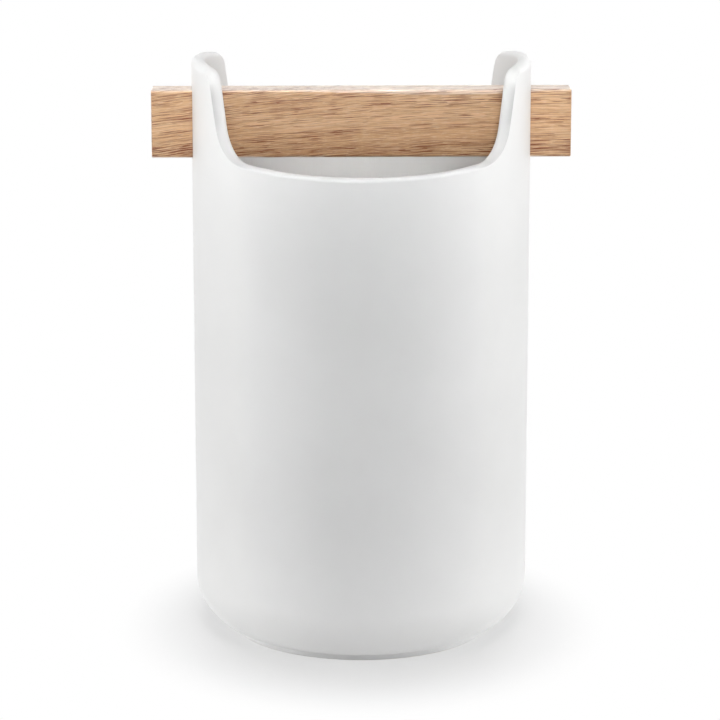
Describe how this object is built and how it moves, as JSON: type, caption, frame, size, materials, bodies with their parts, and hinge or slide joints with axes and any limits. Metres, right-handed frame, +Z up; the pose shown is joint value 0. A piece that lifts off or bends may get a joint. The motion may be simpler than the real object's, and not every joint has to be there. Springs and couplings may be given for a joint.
{
  "type": "utensil holder",
  "caption": "Tall round ceramic utensil holder with raised ears on its rim, and an oak bar handle that slides through slots in the ears and draws out.",
  "frame": {"origin": "middle of the foot ring, on the surface that the pot stands on", "axes": "+Z up along the pot's axis, +X along the oak handle, -Y towards the front"},
  "size_m": [0.142, 0.115, 0.2],
  "materials": {
    "white_glaze": "white satin glaze, foot ring left bare",
    "oak": "solid oak, sanded and lightly oiled"
  },
  "bodies": {
    "pot": {"ceramic_pot": "white_glaze"},
    "handle": {"oak_handle": "oak"}
  },
  "joints": [
    {"name": "handle_slide", "type": "slide", "parent": "pot", "child": "handle", "axis": [1, 0, 0], "range_m": [-0.13, 0.13]}
  ]
}
